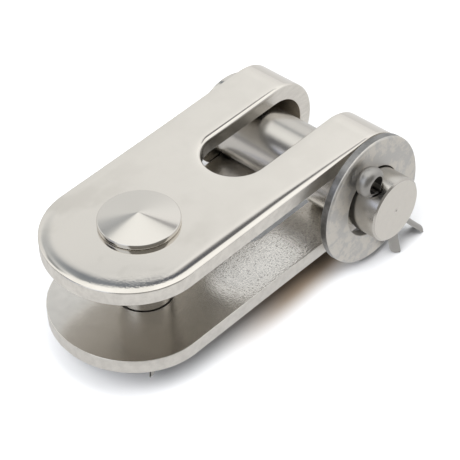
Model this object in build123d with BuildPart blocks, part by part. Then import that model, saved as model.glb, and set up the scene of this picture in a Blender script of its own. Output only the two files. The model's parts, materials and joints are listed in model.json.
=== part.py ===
from build123d import *
import math
import os

os.makedirs("parts", exist_ok=True)

# Jaw-jaw toggle, in millimetres.
# X runs along the strap towards its bend, Y across it, Z along the jaw pin.
# The origin is on the jaw pin's axis, half way between the two cheeks.

# Strap: one flat bar folded into a U
bar_width = 47.6
bar_thickness = 4.76
cheek_gap = 20.2
bend_centre_x = 64.6
end_reach = 27.3
end_depth = 21.7
slot_width = 19.0
slot_start_x = 28.0
outer_edge_radius = 0.8
inner_edge_radius = 0.5

# Pin sizes
jaw_pin_diameter = 15.88
bend_pin_diameter = 19.05
jaw_head_diameter = 22.4
jaw_head_rim = 1.5
jaw_head_rise = 1.95
bend_head_diameter = 28.2
bend_head_rim = 1.9
bend_head_rise = 2.3
head_edge_radius = 0.35
pin_lead = 0.5
pin_tip_hole = 4.5
centre_mark_radius = 0.55
centre_mark_depth = 0.35

# Split cotters, half-round wire
cotter_hole_diameter = 5.6
eye_wire_width = 4.9
eye_wire_thickness = 1.9
eye_inner_radius = 2.7
neck_radius = 2.4
leg_wire_width = 3.7
leg_wire_thickness = 1.6
leg_bend_radius = 6.0
long_leg_spread = 13.2
short_leg_spread = 15.4
leg_bend_depth = 4.6
jaw_long_leg = 18.3
bend_long_leg = 19.6
short_leg = 15.2
leg_tip_chamfer = 0.5

# Bend washer
washer_diameter = 38.1
washer_bore = 21.0
washer_thickness = 2.8
washer_roll_radius = 0.9
washer_back_edge = 0.25

# Clearances
hole_clearance = 0.35
head_clearance = 0.1
pin_rest_clearance = 0.3
washer_hang_clearance = 0.3
eye_seat_clearance = 0.15
leg_gap = 0.1
cotter_washer_gap = 0.7
cotter_cheek_gap = 0.6

# How the loose pieces lie
bend_pin_setback = 4.1
washer_side_gap = 3.4
washer_hang_angle = -138.0
washer_lean = 1.8
bend_cotter_angle = 117.0
jaw_cotter_angle = 34.5

# Places that follow from the sizes
fold_inner = cheek_gap / 2
fold_outer = fold_inner + bar_thickness
jaw_pin_radius = jaw_pin_diameter / 2
bend_pin_radius = bend_pin_diameter / 2
side_y = bar_width / 2
bend_pin_x = bend_centre_x - bend_pin_setback
bend_pin_z = -fold_inner + bend_pin_radius + pin_rest_clearance
washer_front_y = -side_y - washer_side_gap - washer_thickness
bend_cotter_y = washer_front_y - cotter_washer_gap - eye_wire_width / 2
jaw_cotter_z = -fold_outer - cotter_cheek_gap - cotter_hole_diameter / 2
face_tolerance = 0.01


# The strap: fold section, plan outline, slot for the second jaw, jaw pin holes
with BuildPart() as strap:
    with BuildSketch(Plane.XZ) as fold:
        with Locations((bend_centre_x, 0)):
            Circle(fold_outer)
            Rectangle(bend_centre_x + end_reach, 2 * fold_outer, align=(Align.MAX, Align.CENTER))
            Circle(fold_inner, mode=Mode.SUBTRACT)
            Rectangle(
                bend_centre_x + end_reach, cheek_gap,
                align=(Align.MAX, Align.CENTER), mode=Mode.SUBTRACT,
            )
    extrude(amount=side_y, both=True)
    with BuildSketch(Plane.XY.offset(-fold_outer)) as plan:
        with Locations((end_depth - end_reach, 0)):
            Ellipse(end_depth, side_y)
            Rectangle(
                bend_centre_x + fold_outer + end_reach, bar_width,
                align=(Align.MIN, Align.CENTER),
            )
    extrude(amount=2 * fold_outer, mode=Mode.INTERSECT)
    with BuildSketch(Plane.XY.offset(-fold_outer)) as slot:
        with Locations((slot_start_x + slot_width / 2, 0)):
            Circle(slot_width / 2)
            Rectangle(bend_centre_x + fold_outer, slot_width, align=(Align.MIN, Align.CENTER))
    extrude(amount=2 * fold_outer, mode=Mode.SUBTRACT)
    outer_faces = strap.faces().filter_by(
        lambda f: f.geom_type == GeomType.PLANE and abs(f.center().Z) > fold_outer - face_tolerance
    ) + strap.faces().filter_by(
        lambda f: f.geom_type == GeomType.CYLINDER and abs(f.radius - fold_outer) < face_tolerance
    )
    outer_edges = outer_faces.edges()
    fillet(outer_edges.filter_by(lambda e: outer_edges.count(e) == 1), outer_edge_radius)
    inner_faces = strap.faces().filter_by(
        lambda f: f.geom_type == GeomType.PLANE and abs(abs(f.center().Z) - fold_inner) < face_tolerance
    ) + strap.faces().filter_by(
        lambda f: f.geom_type == GeomType.CYLINDER and abs(f.radius - fold_inner) < face_tolerance
    )
    inner_edges = inner_faces.edges()
    fillet(inner_edges.filter_by(lambda e: inner_edges.count(e) == 1), inner_edge_radius)
    with Locations((0, 0, fold_outer)):
        Hole(jaw_pin_radius + hole_clearance)
strap.part.label = "strap"
export_step(strap.part, "parts/strap.step")


def headed_pin(seat, radius, length, head_radius, rim, rise, cross_direction):
    # A pin with a shallow cone head. seat is the plane under the head, facing out of it.
    section = Plane(seat.origin, x_dir=seat.x_dir, z_dir=-seat.y_dir)
    hole_centre = seat.origin - seat.z_dir * (length - pin_tip_hole)
    with BuildPart() as pin:
        with BuildSketch(section) as profile:
            with BuildLine():
                Polyline(
                    (0, centre_mark_depth - length),
                    (centre_mark_radius, -length),
                    (radius - pin_lead, -length),
                    (radius, pin_lead - length),
                    (radius, 0),
                    (head_radius, 0),
                    (head_radius, rim),
                    (0, rim + rise),
                    close=True,
                )
            make_face()
            fillet(profile.vertices().sort_by(Axis.X)[-2:], head_edge_radius)
        revolve(axis=Axis(seat.origin, seat.z_dir))
        with BuildSketch(Plane(hole_centre, x_dir=seat.z_dir, z_dir=cross_direction)):
            Circle(cotter_hole_diameter / 2)
        extrude(amount=2 * radius, both=True, mode=Mode.SUBTRACT)
    return pin


def half_round(plane, width, thickness, inward):
    # The section of the cotter's wire: half an ellipse, its flat on the inner side.
    with BuildSketch(plane) as section:
        with BuildLine():
            EllipticalCenterArc((0, 0), width / 2, thickness, start_angle=inward, arc_size=180)
            Line((-width / 2, 0), (width / 2, 0))
        make_face()
    return section.sketch


def split_cotter(middle, pin_radius, long_leg):
    # One half-round wire: an eye, two legs lying face to face, and their spread ends.
    # middle is the plane across the pin, with x to one side and y towards the eye.
    hole_radius = cotter_hole_diameter / 2
    eye_outer_radius = eye_inner_radius + eye_wire_thickness
    eye_y = (
        math.sqrt(pin_radius**2 - hole_radius**2)
        + math.sqrt(eye_outer_radius**2 - hole_radius**2)
        + eye_seat_clearance
    )
    leg_x = leg_gap / 2
    neck_x = neck_radius + leg_x
    lean = math.degrees(math.acos(neck_x / (eye_inner_radius + neck_radius)))
    neck_y = eye_y - math.sqrt((eye_inner_radius + neck_radius) ** 2 - neck_x**2)
    bend_y = leg_bend_depth - pin_radius
    with BuildPart() as cotter:
        legs = ((1, long_leg, long_leg_spread), (-1, short_leg, short_leg_spread))
        for side, leg_length, leg_spread in legs:
            inward = 90 + side * 90
            with BuildLine(middle) as loop:
                CenterArc((0, eye_y), eye_inner_radius, 90, -side * (90 + lean))
                CenterArc((side * neck_x, neck_y), neck_radius, inward - side * lean, side * lean)
            with BuildLine(middle) as leg:
                Line((side * leg_x, neck_y), (side * leg_x, bend_y))
                bend = CenterArc(
                    (side * (leg_bend_radius + leg_x), bend_y), leg_bend_radius,
                    inward, side * leg_spread,
                )
                Line(bend @ 1, bend @ 1 + bend % 1 * leg_length)
            crown = Plane(loop.line @ 0, x_dir=middle.z_dir, z_dir=loop.line % 0)
            neck = Plane(loop.line @ 1, x_dir=middle.z_dir, z_dir=loop.line % 1)
            eye_section = half_round(crown, eye_wire_width, eye_wire_thickness, inward)
            leg_section = half_round(neck, leg_wire_width, leg_wire_thickness, inward)
            sweep([eye_section, leg_section], path=loop.line, multisection=True)
            sweep(leg_section, path=leg.line)
        flats = cotter.faces().filter_by(GeomType.PLANE)
        tips = flats.sort_by(lambda f: middle.to_local_coords(f.center()).Y)[:2]
        chamfer(tips.edges(), leg_tip_chamfer)
    return cotter


# The jaw pin stands through both cheeks, its head on the upper one
jaw_cotter_direction = Vector(1, 0, 0).rotate(Axis.Z, jaw_cotter_angle)
jaw_seat = Plane((0, 0, fold_outer + head_clearance))
jaw_pin = headed_pin(
    jaw_seat, jaw_pin_radius, jaw_seat.origin.Z - jaw_cotter_z + pin_tip_hole,
    jaw_head_diameter / 2, jaw_head_rim, jaw_head_rise, jaw_cotter_direction,
)
jaw_pin.part.label = "jaw_pin"
export_step(jaw_pin.part, "parts/jaw_pin.step")

# The bend pin lies across the bend, its head on the far side of the strap
bend_cotter_direction = Vector(1, 0, 0).rotate(Axis.Y, -bend_cotter_angle)
bend_seat = Plane(
    (bend_pin_x, side_y + head_clearance, bend_pin_z), x_dir=(1, 0, 0), z_dir=(0, 1, 0)
)
bend_pin = headed_pin(
    bend_seat, bend_pin_radius, bend_seat.origin.Y - bend_cotter_y + pin_tip_hole,
    bend_head_diameter / 2, bend_head_rim, bend_head_rise, bend_cotter_direction,
)
bend_pin.part.label = "bend_pin"
export_step(bend_pin.part, "parts/bend_pin.step")

# A split cotter holds the end of each pin
jaw_cotter = split_cotter(
    Plane(
        (0, 0, jaw_cotter_z),
        x_dir=jaw_cotter_direction.cross(Vector(0, 0, 1)), z_dir=(0, 0, 1),
    ),
    jaw_pin_radius, jaw_long_leg,
)
jaw_cotter.part.label = "jaw_cotter"
export_step(jaw_cotter.part, "parts/jaw_cotter.step")

bend_cotter = split_cotter(
    Plane(
        (bend_pin_x, bend_cotter_y, bend_pin_z),
        x_dir=bend_cotter_direction.cross(Vector(0, -1, 0)), z_dir=(0, -1, 0),
    ),
    bend_pin_radius, bend_long_leg,
)
bend_cotter.part.label = "bend_cotter"
export_step(bend_cotter.part, "parts/bend_cotter.step")

# The stamped washer hangs loose on the bend pin, its rolled edge outwards
washer_hang = Vector(1, 0, 0).rotate(Axis.Y, -washer_hang_angle) * (
    washer_bore / 2 - bend_pin_radius - washer_hang_clearance
)
washer_plane = Plane(
    Vector(bend_pin_x, washer_front_y, bend_pin_z) + washer_hang,
    x_dir=(1, 0, 0), z_dir=Vector(0, -1, 0).rotate(Axis.X, -washer_lean),
)
with BuildPart() as bend_washer:
    with BuildSketch(washer_plane):
        Circle(washer_diameter / 2)
        Circle(washer_bore / 2, mode=Mode.SUBTRACT)
    extrude(amount=-washer_thickness)
    front = bend_washer.faces().sort_by(Axis.Y)[0]
    back = bend_washer.faces().sort_by(Axis.Y)[-1]
    fillet(front.outer_wire().edges(), washer_roll_radius)
    fillet(front.inner_wires().edges() + back.outer_wire().edges(), washer_back_edge)
bend_washer.part.label = "bend_washer"
export_step(bend_washer.part, "parts/bend_washer.step")
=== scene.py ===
import bmesh
import bpy
import json
from math import acos, copysign, cos, degrees, hypot, pi, radians, sin, sqrt
from mathutils import Matrix, Vector


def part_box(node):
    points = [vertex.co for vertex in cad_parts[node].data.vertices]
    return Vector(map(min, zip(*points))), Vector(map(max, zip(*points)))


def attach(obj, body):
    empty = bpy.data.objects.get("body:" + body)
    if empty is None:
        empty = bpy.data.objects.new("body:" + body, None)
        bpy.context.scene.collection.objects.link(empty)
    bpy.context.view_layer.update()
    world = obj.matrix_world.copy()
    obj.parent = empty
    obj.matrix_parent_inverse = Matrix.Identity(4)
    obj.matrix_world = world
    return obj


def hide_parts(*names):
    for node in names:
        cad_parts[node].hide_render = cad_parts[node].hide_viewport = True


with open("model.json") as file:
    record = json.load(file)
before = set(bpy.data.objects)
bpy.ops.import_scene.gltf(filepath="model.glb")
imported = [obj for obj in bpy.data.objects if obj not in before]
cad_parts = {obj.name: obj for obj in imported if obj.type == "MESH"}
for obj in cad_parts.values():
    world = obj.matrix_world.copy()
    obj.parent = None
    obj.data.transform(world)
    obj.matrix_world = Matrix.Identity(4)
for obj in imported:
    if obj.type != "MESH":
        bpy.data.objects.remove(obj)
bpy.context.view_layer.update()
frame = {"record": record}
mounts = {mount["name"]: mount for mount in frame["record"]["mounts"]}
mm = 0.001
mergeReach = 1e-7
weldReach = 1e-6
ringReach = 1e-6
scene = bpy.context.scene


# Shader helpers: a socket that takes part in sums, and a finish that makes its nodes

class Level:
    def __init__(self, finish, socket):
        self.finish = finish
        self.socket = socket

    def math(self, operation, *others):
        return self.finish.math(operation, self, *others)

    def __add__(self, other):
        return self.math("ADD", other)

    def __radd__(self, other):
        return self.math("ADD", other)

    def __sub__(self, other):
        return self.math("SUBTRACT", other)

    def __rsub__(self, other):
        return self.finish.math("SUBTRACT", other, self)

    def __mul__(self, other):
        return self.math("MULTIPLY", other)

    def __rmul__(self, other):
        return self.math("MULTIPLY", other)

    def __truediv__(self, other):
        return self.math("DIVIDE", other)

    def __rtruediv__(self, other):
        return self.finish.math("DIVIDE", other, self)


class Finish:
    def __init__(self, tree):
        self.tree = tree
        tree.nodes.clear()

    def fill(self, socket, value):
        if isinstance(value, Level):
            self.tree.links.new(value.socket, socket)
        else:
            socket.default_value = value

    def node(self, kind, settings=None, sockets=None):
        made = self.tree.nodes.new(kind)
        for name, value in (settings or {}).items():
            if name == "stops":
                ramp = made.color_ramp
                while len(ramp.elements) < len(value):
                    ramp.elements.new(0.5)  # each gets its own place below
                for element, (place, color) in zip(ramp.elements, value):
                    element.position = place
                    element.color = (*color, 1)
            else:
                setattr(made, name, value)
        for place, value in (sockets or {}).items():
            self.fill(made.inputs[place], value)
        return [Level(self, output) for output in made.outputs]

    def math(self, operation, *values):
        return self.node("ShaderNodeMath", {"operation": operation}, dict(enumerate(values)))[0]

    def mix(self, share, first, second):
        made = self.tree.nodes.new("ShaderNodeMix")
        made.data_type = "RGBA"
        sockets = {socket.identifier: socket for socket in (*made.inputs, *made.outputs)}
        self.fill(sockets["Factor_Float"], share)
        for place, color in (("A_Color", first), ("B_Color", second)):
            self.fill(sockets[place], color if isinstance(color, Level) else (*color, 1))
        return Level(self, sockets["Result_Color"])

    def smooth(self, value, low, high):
        return self.node(
            "ShaderNodeMapRange", {"interpolation_type": "SMOOTHSTEP"},
            {"Value": value, "From Min": low, "From Max": high},
        )[0]

    def noise(self, scale, detail, roughness, stretch=(1, 1, 1)):
        where = self.node("ShaderNodeMapping", {}, {"Vector": self.place(), "Scale": stretch})[0]
        return self.node("ShaderNodeTexNoise", {}, {
            "Vector": where, "Scale": scale, "Detail": detail, "Roughness": roughness,
        })[0]

    def place(self):
        return self.node("ShaderNodeTexCoord")[3]  # Object coordinates

    def axes(self, place=None):
        return self.node("ShaderNodeSeparateXYZ", {}, {0: place or self.place()})

    def bump(self, height, distance, strength):
        return self.node("ShaderNodeBump", {}, {
            "Height": height, "Distance": distance, "Strength": strength,
        })[0]

    def surface(self, color, roughness, normal, metallic=1.0):
        shader = self.node("ShaderNodeBsdfPrincipled", {}, {
            "Base Color": color, "Roughness": roughness, "Metallic": metallic, "Normal": normal,
        })[0]
        self.node("ShaderNodeOutputMaterial", {}, {"Surface": shader})


def newFinish(name):
    material = bpy.data.materials.new(name)
    material.use_nodes = True
    return material, Finish(material.node_tree)


# Mesh helpers

def pieceFrom(bm, name, finishes):
    mesh = bpy.data.meshes.new(name)
    bm.to_mesh(mesh)
    bm.free()
    piece = bpy.data.objects.new(name, mesh)
    scene.collection.objects.link(piece)
    for finish in finishes:
        mesh.materials.append(finish)
    return piece


def cut(piece, cutter, operation):
    boolean = piece.modifiers.new("cut", "BOOLEAN")
    boolean.object = cutter
    boolean.operation = operation
    boolean.solver = "EXACT"
    bpy.context.view_layer.update()
    view = bpy.context.evaluated_depsgraph_get()
    shaped = bpy.data.meshes.new_from_object(piece.evaluated_get(view))
    piece.modifiers.clear()
    piece.data = shaped
    bpy.data.objects.remove(cutter)


def shadeRound(piece, sharpAngle):
    piece.data.shade_smooth()
    piece.data.set_sharp_from_angle(angle=radians(sharpAngle))
    weighted = piece.modifiers.new("faceNormals", "WEIGHTED_NORMAL")
    weighted.keep_sharp = True


def roundOff(bm, edges, size, segments):
    bmesh.ops.bevel(
        bm, geom=edges, offset=size, offset_type="OFFSET", segments=segments, profile=0.5,
        affect="EDGES", material=-1,
    )


def closeUp(bm):
    bmesh.ops.remove_doubles(bm, verts=bm.verts, dist=mergeReach)
    bmesh.ops.recalc_face_normals(bm, faces=bm.faces)


def prism(bm, height):
    # Makes the bmesh's one flat face a block, half of it on each side of z = 0
    bmesh.ops.translate(bm, verts=bm.verts, vec=(0, 0, -height / 2))
    raised = bmesh.ops.extrude_face_region(bm, geom=bm.faces[:])["geom"]
    upper = [g for g in raised if isinstance(g, bmesh.types.BMVert)]
    bmesh.ops.translate(bm, verts=upper, vec=(0, 0, height))
    bmesh.ops.recalc_face_normals(bm, faces=bm.faces)


def roundedBlock(centreX, depth, halfWidth, farX, height, steps):
    # A block whose left end is half an ellipse, and which runs straight on to farX
    bm = bmesh.new()
    bmesh.ops.create_circle(bm, cap_ends=True, segments=2 * steps, radius=1)
    for vert in bm.verts:
        if vert.co.x > 1e-5:  # the half of the circle that runs on to farX
            vert.co = (farX, copysign(halfWidth, vert.co.y), 0)
        else:
            vert.co = (centreX + depth * vert.co.x, halfWidth * vert.co.y, 0)
    bmesh.ops.remove_doubles(bm, verts=bm.verts, dist=mergeReach)
    prism(bm, height)
    return pieceFrom(bm, "cutter", [])


def rod(radius, length, steps, matrix):
    bm = bmesh.new()
    bmesh.ops.create_cone(
        bm, cap_ends=True, segments=steps, radius1=radius, radius2=radius, depth=length, matrix=matrix,
    )
    return pieceFrom(bm, "cutter", [])


def turned(profile, steps, rolls):
    # Spins a profile of (radius, height) points about Z, then rounds the edges at the points in rolls
    bm = bmesh.new()
    verts = [bm.verts.new((radius, 0, height)) for radius, height in profile]
    edges = [bm.edges.new(pair) for pair in zip(verts, verts[1:])]
    if profile[0][0] > 0:
        edges.append(bm.edges.new((verts[-1], verts[0])))
    bmesh.ops.spin(
        bm, geom=verts + edges, cent=(0, 0, 0), axis=(0, 0, 1), angle=2 * pi, steps=steps, use_merge=True,
    )
    closeUp(bm)
    for (radius, height), size, segments in rolls:
        ring = [
            edge for edge in bm.edges
            if all(
                abs(hypot(v.co.x, v.co.y) - radius) < ringReach and abs(v.co.z - height) < ringReach
                for v in edge.verts
            )
        ]
        roundOff(bm, ring, size, segments)
    return bm


def inPlace(bm, origin, axis):
    # Turns the piece's Z to the given axis and moves it there
    turn = Vector((0, 0, 1)).rotation_difference(Vector(axis)).to_matrix().to_4x4()
    bmesh.ops.transform(bm, verts=bm.verts, matrix=Matrix.Translation(origin) @ turn)


def setPlace(piece, body, node):
    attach(piece, body)
    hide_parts(node)


# Strap

strapLow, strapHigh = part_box("strap")
strapBar = {
    "halfWidth": strapHigh.y,
    "outerHeight": strapHigh.z,
    "thickness": 4.76 * mm,
    "endX": strapLow.x,
    "endDepth": 21.7 * mm,
    "bendX": strapHigh.x - strapHigh.z,
    "slotHalf": 9.5 * mm,
    "slotStart": 28 * mm,
    "pinHole": (mounts["jaw"]["dims"]["r_mm"] + 0.35) * mm,
    "holeMargin": 1 * mm,
    "rimCorner": 0.25 * mm,
    "slotCorner": 0.75 * mm,
    "innerRoll": 0.2 * mm,
    "innerRollSteps": 4,
    "wornReach": 5.2 * mm,
    "wornShoulders": ((radians(9), 1.4), (radians(25), 9)),
    "wornRings": (
        0.004, 0.015, 0.035, 0.06, 0.09, 0.13, 0.17, 0.25, 0.35, 0.5, 0.75, 1,
        1.25, 1.5, 1.85, 2.3, 2.9, 3.5, 4.3, 5.2,
    ),
    "rimWear": {"full": 0.97, "fadeFrom": 28 * mm, "fadeTo": 70 * mm},
    "slotWear": {"full": 0.72, "fadeFrom": 58 * mm, "fadeTo": 74 * mm},
    "slotWearFrom": 15 * mm,
    "fadePower": 0.6,
    "sideLean": 0.7,
    "margin": 8 * mm,
    "cutterHeight": 4 * strapHigh.z,
    "longEdge": 4 * mm,
    "flatAngle": radians(0.05),
    "bendSteps": 64,
    "endSteps": 72,
    "slotSteps": 40,
    "holeSteps": 96,
    "sharpAngle": 40,
    "edgeLean": 0.6,
    "slotFinishMargin": {"along": 1 * mm, "across": 0.6 * mm},
    "finishPlace": {"cutEdge": 1, "inside": 2, "slotWall": 3},
}


def foldedBar():
    # A wide bar folded half round, before its outline is cut
    innerHeight = strapBar["outerHeight"] - strapBar["thickness"]
    side = strapBar["halfWidth"] + strapBar["margin"]
    bm = bmesh.new()
    corners = [
        bm.verts.new((strapBar["bendX"], y, z))
        for y, z in ((-side, innerHeight), (side, innerHeight),
                     (side, strapBar["outerHeight"]), (-side, strapBar["outerHeight"]))
    ]
    ring = [bm.edges.new((corners[i], corners[(i + 1) % 4])) for i in range(4)]
    last = bmesh.ops.spin(
        bm, geom=corners + ring, cent=(strapBar["bendX"], 0, 0), axis=(0, 1, 0),
        angle=pi, steps=strapBar["bendSteps"],
    )["geom_last"]
    for edges in (ring, [g for g in last if isinstance(g, bmesh.types.BMEdge)]):
        pulled = bmesh.ops.extrude_edge_only(bm, edges=edges)["geom"]
        for end in pulled:
            if isinstance(end, bmesh.types.BMVert):
                end.co.x = strapBar["endX"] - strapBar["margin"]
        bmesh.ops.contextual_create(bm, geom=[g for g in pulled if isinstance(g, bmesh.types.BMEdge)])
    closeUp(bm)
    return pieceFrom(bm, "strapBar", [])


def outwardAt(place):
    return Vector((max(0, place.x - strapBar["bendX"]), 0, place.z)).normalized()


def faceSide(face):
    # 1 on the strap's outer face, -1 on its inner face, 0 on a cut edge
    lean = face.normal.dot(outwardAt(face.calc_center_median()))
    return 0 if abs(lean) < strapBar["sideLean"] else int(copysign(1, lean))


def fromPinHole(vert):
    return hypot(vert.co.x, vert.co.y) - strapBar["pinHole"]


def bySlot(place):
    halfWay = (strapBar["slotHalf"] + strapBar["halfWidth"]) / 2
    return abs(place.y) < halfWay and place.x > strapBar["slotWearFrom"]


def wornShare(place):
    # Buffing wore the flat stretches and hardly reached the bend
    wear = strapBar["slotWear" if bySlot(place) else "rimWear"]
    faded = (place.x - wear["fadeFrom"]) / (wear["fadeTo"] - wear["fadeFrom"])
    return wear["full"] * (1 - min(1, max(0, faded))) ** strapBar["fadePower"]


def wornFall(place, fromRim):
    # How far the outer face has fallen at this distance from its rim: two shoulders and a small corner
    corner = strapBar["slotCorner" if bySlot(place) else "rimCorner"]
    fall = corner - sqrt(corner**2 - max(0, corner - fromRim) ** 2)
    reach = strapBar["wornReach"] * wornShare(place)
    if fromRim < reach:
        share = 1 - fromRim / reach
        for slope, power in strapBar["wornShoulders"]:
            fall += reach * slope / (power + 1) * share ** (power + 1)
    return fall


def wearEdges(bm):
    # Lets the outer face fall away towards its rims, as buffing leaves it
    outer = [face for face in bm.faces if faceSide(face) == 1]
    fromRim = {vert: 0 for face in outer for vert in face.verts}
    reached = 0
    for ring in strapBar["wornRings"]:
        bmesh.ops.inset_region(
            bm, faces=outer, thickness=ring * mm - reached, depth=0, use_even_offset=True,
        )
        inside = set(outer)
        ringFaces = {face for edge in bm.edges for face in edge.link_faces if face not in inside}
        for face in ringFaces:
            for vert in face.verts:
                fromRim.setdefault(vert, reached)
        reached = ring * mm
        for face in outer:
            fromRim.update({vert: reached for vert in face.verts})
    for vert, distance in fromRim.items():
        nearPin = fromPinHole(vert) < strapBar["wornReach"] + strapBar["holeMargin"]
        onOuter = any(faceSide(face) == 1 for face in vert.link_faces)
        if onOuter and not nearPin:
            vert.co -= outwardAt(vert.co) * wornFall(vert.co, distance)


def makeStrap(finishes):
    strap = foldedBar()
    height = strapBar["cutterHeight"]
    far = strapHigh.x + strapBar["margin"]
    cut(strap, roundedBlock(
        strapBar["endX"] + strapBar["endDepth"], strapBar["endDepth"], strapBar["halfWidth"],
        far, height, strapBar["endSteps"],
    ), "INTERSECT")
    cut(strap, roundedBlock(
        strapBar["slotStart"] + strapBar["slotHalf"], strapBar["slotHalf"], strapBar["slotHalf"],
        far, height, strapBar["slotSteps"],
    ), "DIFFERENCE")
    cut(strap, rod(strapBar["pinHole"], height, strapBar["holeSteps"], Matrix()), "DIFFERENCE")
    bm = bmesh.new()
    bm.from_mesh(strap.data)
    bpy.data.objects.remove(strap)
    bmesh.ops.remove_doubles(bm, verts=bm.verts, dist=weldReach)
    bmesh.ops.dissolve_limit(bm, angle_limit=strapBar["flatAngle"], verts=bm.verts, edges=bm.edges)
    for edge in bm.edges[:]:
        cuts = int(edge.calc_length() / strapBar["longEdge"])
        if cuts and sorted(faceSide(face) for face in edge.link_faces) == [0, 1]:
            bmesh.ops.subdivide_edges(bm, edges=[edge], cuts=cuts)
    wearEdges(bm)
    innerRim = []
    for edge in bm.edges:
        sides = sorted(faceSide(face) for face in edge.link_faces)
        nearPin = all(fromPinHole(vert) < strapBar["holeMargin"] for vert in edge.verts)
        if sides == [-1, 0] and not nearPin:
            innerRim.append(edge)
    roundOff(bm, innerRim, strapBar["innerRoll"], strapBar["innerRollSteps"])
    bmesh.ops.recalc_face_normals(bm, faces=bm.faces)
    margin = strapBar["slotFinishMargin"]
    for face in bm.faces:
        place = face.calc_center_median()
        lean = face.normal.dot(outwardAt(place))
        if abs(lean) < strapBar["edgeLean"]:
            inSlot = (
                abs(place.y) < strapBar["slotHalf"] + margin["across"]
                and place.x > strapBar["slotStart"] - margin["along"]
            )
            face.material_index = strapBar["finishPlace"]["slotWall" if inSlot else "cutEdge"]
        elif lean < 0:
            face.material_index = strapBar["finishPlace"]["inside"]
    strap = pieceFrom(bm, "strapBar", finishes)
    shadeRound(strap, strapBar["sharpAngle"])
    setPlace(strap, "strap", "strap")
    return strap


# Headed pins

headedPin = {
    "jaw": {
        "name": "jawPin", "node": "jaw_pin", "mount": "jaw", "axis": (0, 0, 1),
        "rim": 1.5 * mm, "rise": 1.95 * mm, "crossAngle": radians(34.5),
    },
    "bend": {
        "name": "bendPin", "node": "bend_pin", "mount": "bend_jaw", "axis": (0, 1, 0),
        "rim": 1.9 * mm, "rise": 2.3 * mm, "crossAngle": radians(-117),
    },
    "headEdge": 0.35 * mm,
    "headEdgeSteps": 4,
    "lead": 0.5 * mm,
    "leadEdge": 0.12 * mm,
    "leadEdgeSteps": 2,
    "apexRadius": 0.25 * mm,
    "apexFall": 0.6,
    "markRadius": 0.55 * mm,
    "markDepth": 0.35 * mm,
    "crossHole": 2.8 * mm,
    "crossHoleSteps": 64,
    "tipToHole": 4.5 * mm,
    "steps": 144,
    "endLean": 0.9,
    "sharpAngle": 30,
    "finishPlace": {"end": 1, "shank": 2},
}


def pinRadius(which):
    return mounts[headedPin[which]["mount"]]["dims"]["r_mm"] * mm


def makePin(which, finishes):
    # Built head up on Z with its seat at zero, then turned to its axis
    own = headedPin[which]
    low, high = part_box(own["node"])
    axis = Vector(own["axis"])
    radius = pinRadius(which)
    along = [i for i in range(3) if axis[i]][0]
    head = max((high - low)[i] for i in range(3) if i != along) / 2
    seatHeight = high[along] - own["rim"] - own["rise"]
    length = seatHeight - low[along]
    slope = headedPin["apexRadius"] / head
    profile = [
        (0, headedPin["markDepth"] - length),
        (headedPin["markRadius"], -length),
        (radius - headedPin["lead"], -length),
        (radius, headedPin["lead"] - length),
        (radius, 0),
        (head, 0),
        (head, own["rim"]),
        (headedPin["apexRadius"], own["rim"] + own["rise"] * (1 - slope)),
        (0, own["rim"] + own["rise"] * (1 - headedPin["apexFall"] * slope)),
    ]
    bm = turned(profile, headedPin["steps"], [
        ((head, 0), headedPin["headEdge"], headedPin["headEdgeSteps"]),
        ((head, own["rim"]), headedPin["headEdge"], headedPin["headEdgeSteps"]),
        ((radius - headedPin["lead"], -length), headedPin["leadEdge"], headedPin["leadEdgeSteps"]),
    ])
    for face in bm.faces:
        height = face.calc_center_median().z
        if face.normal.z < -headedPin["endLean"] and height < headedPin["lead"] - length:
            face.material_index = headedPin["finishPlace"]["end"]
        elif height < 0 and abs(face.normal.z) < headedPin["endLean"]:
            face.material_index = headedPin["finishPlace"]["shank"]
    origin = Vector(mounts[own["mount"]]["pos_m"])
    origin[along] = seatHeight
    inPlace(bm, origin, axis)
    pin = pieceFrom(bm, own["name"], finishes)
    crossPlace = origin - axis * (length - headedPin["tipToHole"])
    cross = Vector((1, 0, 0))
    cross.rotate(Matrix.Rotation(own["crossAngle"], 3, axis))
    turn = Vector((0, 0, 1)).rotation_difference(cross).to_matrix().to_4x4()
    throughAll = 4 * radius
    cut(pin, rod(
        headedPin["crossHole"], throughAll, headedPin["crossHoleSteps"],
        Matrix.Translation(crossPlace) @ turn,
    ), "DIFFERENCE")
    shadeRound(pin, headedPin["sharpAngle"])
    setPlace(pin, own["node"], own["node"])
    return pin, crossPlace, cross


# Split cotters

splitCotter = {
    "jaw": {"name": "jawCotter", "node": "jaw_cotter", "outward": (0, 0, 1), "longLeg": 18.3 * mm},
    "bend": {"name": "bendCotter", "node": "bend_cotter", "outward": (0, -1, 0), "longLeg": 19.6 * mm},
    "shortLeg": 15.2 * mm,
    "longSpread": radians(13.2),
    "shortSpread": radians(15.4),
    "eyeWidth": 4.9 * mm,
    "eyeThickness": 1.9 * mm,
    "eyeRadius": 2.7 * mm,
    "neckRadius": 2.4 * mm,
    "legWidth": 3.7 * mm,
    "legThickness": 1.6 * mm,
    "bendRadius": 6 * mm,
    "bendDepth": 4.6 * mm,
    "tip": 0.5 * mm,
    "tipSteps": 3,
    "gap": 0.1 * mm,
    "seatGap": 0.15 * mm,
    "sectionSteps": 32,
    "eyeSteps": 28,
    "neckSteps": 8,
    "bendSteps": 6,
    "sharpAngle": 35,
    "insideReach": 1.001,
    "finishPlace": {"eyeInside": 1},
}


def eyeHeight(which):
    # The eye's centre above the pin's axis, where the eye sits in the mouth of the cross hole
    hole = headedPin["crossHole"]
    eyeOuter = splitCotter["eyeRadius"] + splitCotter["eyeThickness"]
    return sqrt(pinRadius(which)**2 - hole**2) + sqrt(eyeOuter**2 - hole**2) + splitCotter["seatGap"]


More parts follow.
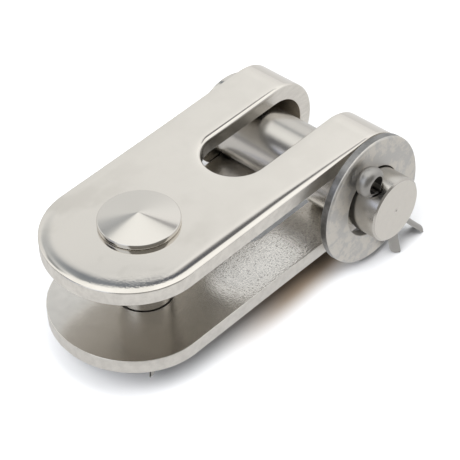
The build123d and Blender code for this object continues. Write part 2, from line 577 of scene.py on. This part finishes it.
def cotterStations(which, side, legLength, spread):
    # Stations from the eye's crown to a leg's end: place, outward direction, share of the way to leg size
    eyeY = eyeHeight(which)
    legX = splitCotter["gap"] / 2
    neckX = splitCotter["neckRadius"] + legX
    reach = splitCotter["eyeRadius"] + splitCotter["neckRadius"]
    lean = acos(neckX / reach)
    neckY = eyeY - sqrt(reach**2 - neckX**2)
    eyeArc = pi / 2 + lean
    total = splitCotter["eyeRadius"] * eyeArc + splitCotter["neckRadius"] * lean
    stations = []
    for step in range(splitCotter["eyeSteps"] + 1):
        turn = eyeArc * step / splitCotter["eyeSteps"]
        out = Vector((side * sin(turn), cos(turn)))
        share = splitCotter["eyeRadius"] * turn / total
        stations.append((Vector((0, eyeY)) + out * splitCotter["eyeRadius"], out, share))
    for step in range(1, splitCotter["neckSteps"] + 1):
        turn = lean * (1 - step / splitCotter["neckSteps"])
        out = Vector((side * cos(turn), -sin(turn)))
        share = 1 - splitCotter["neckRadius"] * turn / total
        centre = Vector((side * neckX, neckY))
        stations.append((centre - out * splitCotter["neckRadius"], out, share))
    bendY = splitCotter["bendDepth"] - pinRadius(which)
    bendCentre = Vector((side * (splitCotter["bendRadius"] + legX), bendY))
    for step in range(splitCotter["bendSteps"] + 1):
        turn = spread * step / splitCotter["bendSteps"]
        out = Vector((side * cos(turn), sin(turn)))
        stations.append((bendCentre - out * splitCotter["bendRadius"], out, 1))
    place, out, share = stations[-1]
    onward = Vector((side * sin(spread), -cos(spread)))
    stations.append((place + onward * legLength, out, share))
    return stations


def makeCotter(which, crossPlace, cross, finishes):
    own = splitCotter[which]
    bm = bmesh.new()
    for side, legLength, spread in (
        (1, own["longLeg"], splitCotter["longSpread"]),
        (-1, splitCotter["shortLeg"], splitCotter["shortSpread"]),
    ):
        rings = []
        for place, out, share in cotterStations(which, side, legLength, spread):
            width = splitCotter["eyeWidth"] + share * (splitCotter["legWidth"] - splitCotter["eyeWidth"])
            depth = splitCotter["eyeThickness"]
            depth += share * (splitCotter["legThickness"] - splitCotter["eyeThickness"])
            ring = bmesh.ops.create_circle(bm, segments=splitCotter["sectionSteps"], radius=1)["verts"]
            for vert in ring:
                inPlane = place + out * depth * max(0, vert.co.y)
                vert.co = (inPlane.x, inPlane.y, width / 2 * vert.co.x)
            rings.append(list({edge for vert in ring for edge in vert.link_edges}))
        for first, second in zip(rings, rings[1:]):
            bmesh.ops.bridge_loops(bm, edges=first + second)
        tip = bmesh.ops.contextual_create(bm, geom=rings[-1])["faces"]
        roundOff(bm, list(tip[0].edges), splitCotter["tip"], splitCotter["tipSteps"])
    closeUp(bm)
    insideReach = splitCotter["eyeRadius"] * splitCotter["insideReach"]
    # Faces inside the eye get the painted shade
    for face in bm.faces:
        middle = face.calc_center_median()
        if hypot(middle.x, middle.y - eyeHeight(which)) < insideReach:
            face.material_index = splitCotter["finishPlace"]["eyeInside"]
    outward = Vector(own["outward"])
    turn = Matrix((cross.cross(outward), cross, outward)).transposed().to_4x4()
    bmesh.ops.transform(bm, verts=bm.verts, matrix=Matrix.Translation(crossPlace) @ turn)
    cotter = pieceFrom(bm, own["name"], finishes)
    shadeRound(cotter, splitCotter["sharpAngle"])
    setPlace(cotter, headedPin[which]["node"], own["node"])
    return cotter


# Washer

hungWasher = {
    "radius": 19.05 * mm,
    "bore": 10.5 * mm,
    "thickness": 2.8 * mm,
    "roll": 0.9 * mm,
    "rollSteps": 8,
    "backEdge": 0.25 * mm,
    "backEdgeSteps": 3,
    "hang": radians(-1.8),
    "steps": 192,
    "sharpAngle": 40,
    "frontLean": 0.25,
    "backLean": 0.999,
    "finishPlace": {"face": 1},
}


def makeWasher(finishes):
    half = hungWasher["thickness"] / 2
    outer = hungWasher["radius"]
    bore = hungWasher["bore"]
    profile = [(bore, -half), (outer, -half), (outer, half), (bore, half)]
    bm = turned(profile, hungWasher["steps"], [
        ((outer, half), hungWasher["roll"], hungWasher["rollSteps"]),
        ((outer, -half), hungWasher["backEdge"], hungWasher["backEdgeSteps"]),
        ((bore, half), hungWasher["backEdge"], hungWasher["backEdgeSteps"]),
    ])
    for face in bm.faces:
        if face.normal.z > hungWasher["frontLean"] or face.normal.z < -hungWasher["backLean"]:
            face.material_index = hungWasher["finishPlace"]["face"]
    low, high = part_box("bend_washer")
    facing = Vector((0, -1, 0))
    facing.rotate(Matrix.Rotation(hungWasher["hang"], 3, "X"))
    inPlace(bm, (low + high) / 2, facing)
    washer = pieceFrom(bm, "bendWasher", finishes)
    shadeRound(washer, hungWasher["sharpAngle"])
    setPlace(washer, "bend_washer", "bend_washer")


# Finishes: a noise is its scale, detail and roughness; a roughness is its least value and its spread

steel = (0.665, 0.642, 0.605)


def toned(share, warmth=1.0):
    # The steel's own colour, darker or lighter, and more or less warm
    return tuple(share * part**warmth for part in steel)


plateLook = {
    "unshadedTone": toned(1.27, 1.3),
    # The next tone is painted shade, darker towards the jaw end of the top
    "jawEndShadeAndStains": toned(1.2, 1.3),
    "jawEndShadeAndStainsOver": (30 * mm, -15 * mm),
    "cloudy": toned(1.24, 1.35),
    "cloud": (95, 4, 0.6),
    "cloudRange": (0.38, 0.6),
    "cloudShare": 0.5,
    "stained": toned(1.06, 1.6),
    "stain": (60, 3, 0.5),
    "stainStretch": (1, 1.4, 1),
    "stainRange": (0.5, 0.7),
    "stainShare": {"everywhere": 0.06, "jawEndShadeAndStains": 0.4},
    "gloss": (60, 3, 0.6),
    "roughness": (0.05, 0.04),
    "ripple": (1300, 3, 0.6),
    "rippleShare": {"everywhere": 0.08, "nearEnd": 2},
    "nearEnd": (-27 * mm, -35 * mm),
    "depth": 0.014 * mm,
}


def plateFinish():
    look = plateLook
    material, finish = newFinish("polishedPlate")
    along, across, _ = finish.axes()
    cloud = finish.smooth(finish.noise(*look["cloud"]), *look["cloudRange"])
    stain = finish.smooth(finish.noise(*look["stain"], look["stainStretch"]), *look["stainRange"])
    # Painted shade darkens the plate towards the jaw end, and more stains gather there
    jawEndShadeAndStains = finish.smooth(along, *look["jawEndShadeAndStainsOver"])
    stainShare = look["stainShare"]["everywhere"] + look["stainShare"]["jawEndShadeAndStains"] * jawEndShadeAndStains
    color = finish.mix(jawEndShadeAndStains, look["unshadedTone"], look["jawEndShadeAndStains"])
    color = finish.mix(cloud * look["cloudShare"], color, look["cloudy"])
    color = finish.mix(stain * stainShare, color, look["stained"])
    least, spread = look["roughness"]
    roughness = least + spread * finish.noise(*look["gloss"])
    nearEnd = finish.smooth(along + across, *look["nearEnd"])
    rippleShare = look["rippleShare"]["everywhere"] + look["rippleShare"]["nearEnd"] * nearEnd
    ripple = finish.noise(*look["ripple"]) * rippleShare
    finish.surface(color, roughness, finish.bump(ripple, look["depth"], 1.0))
    return material


cutEdgeLook = {
    # The cheeks' edge tones are painted shading, lighter on the upper cheek
    "lowerCheekPaintedShading": toned(1.1, 1.1),
    "upperCheekPaintedShading": toned(1.26, 1.2),
    "betweenCheeks": (-6 * mm, 6 * mm),
    "speck": toned(0.7, 1.3),
    "speckRange": (0.3, 0.7),
    "speckShare": 0.3,
    "grain": (420, 4, 0.65),
    "roughness": (0.3, 0.12),
    "depth": 0.03 * mm,
    "strength": 0.6,
}


def cutEdgeFinish():
    # Painted light and shade: the upper cheek's edge is lighter than the lower one's
    look = cutEdgeLook
    material, finish = newFinish("cutEdge")
    grain = finish.noise(*look["grain"])
    upper = finish.smooth(finish.axes()[2], *look["betweenCheeks"])
    speck = finish.smooth(grain, *look["speckRange"]) * look["speckShare"]
    color = finish.mix(upper, look["lowerCheekPaintedShading"], look["upperCheekPaintedShading"])
    color = finish.mix(speck, color, look["speck"])
    least, spread = look["roughness"]
    finish.surface(color, least + spread * grain, finish.bump(grain, look["depth"], look["strength"]))
    return material


slotWallLook = {
    # Painted shade: the slot's wall is darkest at the jaw end and lightest in the bend
    "jawEnd": toned(0.36, 1.6),
    "middle": toned(0.8, 1.3),
    "middleFrom": (36 * mm, 46 * mm),
    "bend": toned(1.35, 1.3),
    "bendFrom": (57 * mm, 66 * mm),
    "streak": toned(0.7, 1.5),
    "streakShare": 0.4,
    "grain": (500, 3, 0.6),
    "grainStretch": (0.5, 1, 2),
    "roughness": (0.16, 0.1),
    "depth": 0.02 * mm,
    "strength": 0.6,
}


def slotWallFinish():
    look = slotWallLook
    material, finish = newFinish("milledWallPaintedShading")
    grain = finish.noise(*look["grain"], look["grainStretch"])
    along = finish.axes()[0]
    # Painted shade along the wall, from dark at the jaw end to light in the bend
    color = finish.mix(finish.smooth(along, *look["middleFrom"]), look["jawEnd"], look["middle"])
    color = finish.mix(finish.smooth(along, *look["bendFrom"]), color, look["bend"])
    color = finish.mix(grain * look["streakShare"], color, look["streak"])
    least, spread = look["roughness"]
    finish.surface(color, least + spread * grain, finish.bump(grain, look["depth"], look["strength"]))
    return material


insideLook = {
    "jawEnd": toned(1.42, 1.2),
    "pitted": toned(1.3, 0.9),
    "pittedFrom": (4 * mm, 20 * mm),
    "pits": (1900, 3, 0.65),
    "pitHeight": {"everywhere": 0.1, "pitted": 0.9},
    # Painted shade: the upper cheek's inside is darker
    "upperCheekPaintedShading": toned(0.85, 1.5),
    "betweenCheeks": (-4 * mm, 4 * mm),
    "cloudy": toned(0.75, 1.4),
    "cloud": (300, 3, 0.6),
    "cloudShare": 0.4,
    "scale": ((0.30, 0.24, 0.17), (0.5, 0.43, 0.34)),
    "darkBendFrom": (58 * mm, 68 * mm),
    "darkBendDulls": 0.6,
    "speck": toned(0.45, 1.5),
    "specks": (1900, 2, 0.6),
    "speckRange": (0.55, 0.68),
    "speckShare": 0.6,
    "roughness": {"least": 0.19, "pittedLess": 0.03, "pits": 0.05, "scale": 0.25},
    "depth": 0.045 * mm,
}


def insideFinish():
    # Smooth at the jaw, pitted towards the bend, and darker, browner and duller inside the bend
    look = insideLook
    material, finish = newFinish("pittedInside")
    along, _, height = finish.axes()
    pitted = finish.smooth(along, *look["pittedFrom"])
    scale = finish.smooth(along, *look["darkBendFrom"])
    upper = finish.smooth(height, *look["betweenCheeks"])
    pits = finish.noise(*look["pits"])
    speck = finish.smooth(finish.noise(*look["specks"]), *look["speckRange"]) * pitted
    cloud = finish.noise(*look["cloud"])
    color = finish.mix(pitted, look["jawEnd"], look["pitted"])
    # Painted shade darkens the upper cheek's inside
    color = finish.mix(upper, color, look["upperCheekPaintedShading"])
    color = finish.mix(cloud * look["cloudShare"], color, look["cloudy"])
    # Darker and browner inside the bend
    color = finish.mix(scale, color, finish.mix(cloud, *look["scale"]))
    color = finish.mix(speck * look["speckShare"], color, look["speck"])
    rough = look["roughness"]
    roughness = rough["least"] - rough["pittedLess"] * pitted + rough["pits"] * pits + rough["scale"] * scale
    relief = pits * (look["pitHeight"]["everywhere"] + look["pitHeight"]["pitted"] * pitted)
    finish.surface(color, roughness, finish.bump(relief, look["depth"], 1.0), 1 - look["darkBendDulls"] * scale)
    return material


plainLooks = {
    "turnedPin": {
        "tones": (toned(1.0, 1.2), toned(1.08, 1.2)), "grain": (50, 2, 0.5),
        "roughness": (0.09, 0.05), "relief": (240, 2, 0.5), "depth": 0.01 * mm, "strength": 0.4,
    },
    # The drawn shank is rougher, and its darker tone is painted shade
    "drawnShankWithPaintedShade": {
        "tones": (toned(0.86, 1.2), toned(1.02, 1.2)), "grain": (90, 3, 0.5), "stretch": (1, 0.3, 1),
        "roughness": (0.22, 0.06), "relief": (600, 3, 0.6), "depth": 0.01 * mm, "strength": 0.5,
    },
    "turnedEnd": {
        "tones": (toned(1.12, 1.3), toned(1.26, 1.3)), "grain": (500, 4, 0.6),
        "roughness": (0.34, 0.08), "depth": 0.02 * mm, "strength": 0.5,
    },
    "tumbledFace": {
        "tones": (toned(0.7, 0.6), toned(1.14, 1.3)), "grain": (260, 5, 0.7), "toneRange": (0.42, 0.58),
        "roughness": (0.36, 0.2), "depth": 0.03 * mm, "strength": 0.7,
    },
    "stampedRim": {
        "tones": (toned(0.24, 0.3), toned(0.34, 0.3)), "grain": (420, 4, 0.65), "toneRange": (0.35, 0.65),
        "roughness": (0.3, 0.12), "depth": 0.04 * mm, "strength": 0.8,
    },
    "cotterWire": {
        "tones": (toned(0.44, 0.9), toned(0.6, 0.9)), "grain": (160, 3, 0.55),
        "roughness": (0.3, 0.1), "depth": 0.02 * mm, "strength": 0.4,
    },
    # Painted shade: the inside of the eye is nearly black
    "cotterEyePaintedShade": {
        "tones": (toned(0.1), toned(0.2)), "grain": (400, 3, 0.55),
        "roughness": (0.5, 0.1), "depth": 0.02 * mm, "strength": 0.4,
    },
}


def plainFinish(name):
    # Two tones by one grain, which is also the relief unless the look has a finer one
    look = plainLooks[name]
    material, finish = newFinish(name)
    grain = finish.noise(*look["grain"], look.get("stretch", (1, 1, 1)))
    share = finish.smooth(grain, *look["toneRange"]) if "toneRange" in look else grain
    relief = finish.noise(*look["relief"]) if "relief" in look else grain
    color = finish.mix(share, *look["tones"])
    least, spread = look["roughness"]
    finish.surface(color, least + spread * grain, finish.bump(relief, look["depth"], look["strength"]))
    return material


strapFinishes = [plateFinish(), cutEdgeFinish(), insideFinish(), slotWallFinish()]
pinFinishes = [plainFinish(name) for name in ("turnedPin", "turnedEnd", "drawnShankWithPaintedShade")]
washerFinishes = [plainFinish(name) for name in ("stampedRim", "tumbledFace")]
cotterFinishes = [plainFinish(name) for name in ("cotterWire", "cotterEyePaintedShade")]
print("finishes made")

strap = makeStrap(strapFinishes)
print("strap made")

jawPin, jawCrossPlace, jawCross = makePin("jaw", pinFinishes)
_, bendCrossPlace, bendCross = makePin("bend", pinFinishes)
print("pins made")

makeWasher(washerFinishes)
print("washer made")

makeCotter("jaw", jawCrossPlace, jawCross, cotterFinishes)
bendCotter = makeCotter("bend", bendCrossPlace, bendCross, cotterFinishes)
print("cotters made")


# Floor, world, lamps and camera

floorPlane = {
    "size": 4.0,
    "firstNormal": (-0.09, -0.12, 0.99),
    "tries": 8,
    "seen": (0.895, 0.90, 0.915),
    "seenClose": (0.31, 0.24, 0.18),
    "closeAlong": ((0, 38 * mm), (74 * mm, 52 * mm)),
    "closeAcross": ((-29 * mm, -21 * mm), (-8 * mm, -16 * mm)),
    "mirrored": (0.06, 0.06, 0.06, 1),
    "mirroredGlow": 0.74,
    "glowBelowDepth": 0.5,
}


def makeFloor(standing):
    # Leans the floor until it touches the lowest point of each of the three pieces that stand on it
    normal = Vector(floorPlane["firstNormal"])
    for _ in range(floorPlane["tries"]):
        feet = [min((vert.co for vert in piece.data.vertices), key=normal.dot) for piece in standing]
        normal = (feet[1] - feet[0]).cross(feet[2] - feet[0]).normalized()
    bm = bmesh.new()
    bmesh.ops.create_grid(bm, x_segments=1, y_segments=1, size=floorPlane["size"])
    inPlace(bm, feet[0], normal)
    material, finish = newFinish("paleFloor")
    # A warm dark patch by the near side, painted where the photo's shadow is warm and deep
    along, across, _ = finish.axes()
    near, far = (finish.smooth(along, *limits) for limits in floorPlane["closeAlong"])
    outside, inside = (finish.smooth(across, *limits) for limits in floorPlane["closeAcross"])
    color = finish.mix(near * far * outside * inside, floorPlane["seen"], floorPlane["seenClose"])
    seen = finish.node("ShaderNodeBsdfDiffuse", {}, {"Color": color})[0]
    mirrored = finish.node("ShaderNodeBsdfDiffuse", {}, {"Color": floorPlane["mirrored"]})[0]
    path = {output.socket.name: output for output in finish.node("ShaderNodeLightPath")}
    # The floor doesn't light itself by way of the steel
    unscattered = path["Diffuse Depth"].math("LESS_THAN", floorPlane["glowBelowDepth"])
    glow = finish.node("ShaderNodeEmission", {}, {"Strength": unscattered * floorPlane["mirroredGlow"]})[0]
    lifted = finish.node("ShaderNodeAddShader", {}, {0: mirrored, 1: glow})[0]
    shown = finish.node("ShaderNodeMixShader", {}, {0: path["Is Camera Ray"], 1: lifted, 2: seen})[0]
    finish.node("ShaderNodeOutputMaterial", {}, {"Surface": shown})
    pieceFrom(bm, "paleFloor", [material])


# The studio by direction, which the steel mirrors. A height is an elevation and its light. A card
# is its name, azimuth, half width and softness, its lowest and highest elevation and their
# softness, its light and how much it covers what is behind. All angles are in degrees.
softTent = {
    "heights": (
        (-90, (0.80, 0.80, 0.79)),
        (2, (0.86, 0.86, 0.86)),
        (20, (1.00, 1.00, 1.00)),
        (34, (1.16, 1.17, 1.17)),
        (44, (1.18, 1.18, 1.18)),
        (52, (1.22, 1.23, 1.22)),
        (58, (1.33, 1.34, 1.33)),
        (70, (1.37, 1.38, 1.37)),
        (90, (1.39, 1.41, 1.41)),
    ),
    "cards": (
        ("dim far side", 64, 24, 12, -20, 44, 3, (0.90, 0.91, 0.91), 0.8),
        ("seam right", 37, 3.5, 5, 45.7, 50.9, 0.9, (0.10, 0.10, 0.11), 0.95),
        ("seam middle", 44, 5, 3, 47.6, 54.2, 1.3, (0.12, 0.13, 0.16), 0.98),
        ("seam left", 53, 6, 3, 43.8, 52.0, 2, (0.22, 0.25, 0.29), 0.95),
        ("seam far left", 63, 6, 5, 38.5, 50.5, 4, (0.46, 0.49, 0.52), 0.7),
        ("cone streak left", 75, 6, 4, 44, 52, 2, (0.30, 0.32, 0.34), 0.85),
        ("cone streak right", 21, 8, 5, 46.3, 49.8, 1, (0.22, 0.22, 0.24), 0.85),
        ("dark left back", 134, 20, 5, 34, 52, 3, (0.08, 0.08, 0.09), 1.0),
        ("low left back", 140, 28, 8, -20, 15, 4, (0.30, 0.30, 0.31), 0.9),
        ("dark room", -112, 53, 3, -20, 60, 4, (0.26, 0.255, 0.245), 0.95),
        ("window edge", 153, 11, 4, 16, 32, 3, (0.85, 0.92, 1.15), 1.0),
        ("window", 177, 17, 2, 12, 60, 4, (1.12, 1.18, 1.28), 1.0),
    ),
    "backdrop": (1, 1, 1),
    "leastSpread": 0.0001,
}


def makeWorld():
    world = bpy.data.worlds.new("softTent")
    scene.world = world
    world.use_nodes = True
    tent = Finish(world.node_tree)
    x, y, z = tent.axes(tent.node("ShaderNodeTexCoord")[0])
    height = z.math("ARCSINE") * degrees(1)
    spread = (1 - z * z).math("MAXIMUM", softTent["leastSpread"]).math("SQRT")
    stops = [((angle + 90) / 180, light) for angle, light in softTent["heights"]]
    color = tent.node("ShaderNodeValToRGB", {"stops": stops}, {0: height / 180 + 0.5})[0]
    for _, angle, half, soft, lowest, highest, edge, light, cover in softTent["cards"]:
        facing = (x * cos(radians(angle)) + y * sin(radians(angle))) / spread
        across = tent.smooth(facing, cos(radians(half + soft)), cos(radians(half - soft)))
        above = tent.smooth(height, lowest - edge, lowest + edge)
        below = 1 - tent.smooth(height, highest - edge, highest + edge)
        color = tent.mix(across * above * below * cover, color, light)
    # The camera sees a plain white backdrop, and all other rays meet the tent
    path = {output.socket.name: output for output in tent.node("ShaderNodeLightPath")}
    shown = tent.mix(path["Is Camera Ray"], color, softTent["backdrop"])
    background = tent.node("ShaderNodeBackground", {}, {"Color": shown, "Strength": 1.0})[0]
    tent.node("ShaderNodeOutputWorld", {}, {"Surface": background})


lampPlan = {
    "lamps": {"leftLamp": ((-0.30, -0.10, 0.34), 1.5), "highLamp": ((-0.02, -0.21, 0.42), 1.1)},
    "aim": (0.03, 0, 0),
    "size": 0.26,
}


def makeLamps():
    # These light the floor: glossy rays don't meet them, and the steel mirrors the tent instead
    for name, (place, power) in lampPlan["lamps"].items():
        data = bpy.data.lights.new(name, "AREA")
        data.shape = "DISK"
        data.size = lampPlan["size"]
        data.energy = power
        lamp = bpy.data.objects.new(name, data)
        lamp.location = place
        towards = Vector(lampPlan["aim"]) - lamp.location
        lamp.rotation_euler = towards.to_track_quat("-Z", "Y").to_euler()
        lamp.visible_glossy = False
        scene.collection.objects.link(lamp)


# Solved from the outline of the strap and the pins in the photo
viewpoint = {
    "place": (-0.2855, -0.3131, 0.3877),
    "right": (0.67610, -0.73591, -0.03637),
    "down": (-0.50876, -0.43055, -0.74551),
    "lens": 168.2,
    "sensor": 36,
    "clip": (0.05, 20),
}


def makeCamera():
    data = bpy.data.cameras.new("camera")
    data.lens = viewpoint["lens"]
    data.sensor_width = viewpoint["sensor"]
    data.clip_start, data.clip_end = viewpoint["clip"]
    camera = bpy.data.objects.new("camera", data)
    right = Vector(viewpoint["right"]).normalized()
    up = -Vector(viewpoint["down"])
    up = (up - right * up.dot(right)).normalized()
    turn = Matrix((right, up, right.cross(up))).transposed().to_4x4()
    camera.matrix_world = Matrix.Translation(viewpoint["place"]) @ turn
    scene.collection.objects.link(camera)
    scene.camera = camera


makeFloor((jawPin, bendCotter, strap))
makeWorld()
makeLamps()
makeCamera()
scene.view_settings.view_transform = "Standard"
print("stage made")
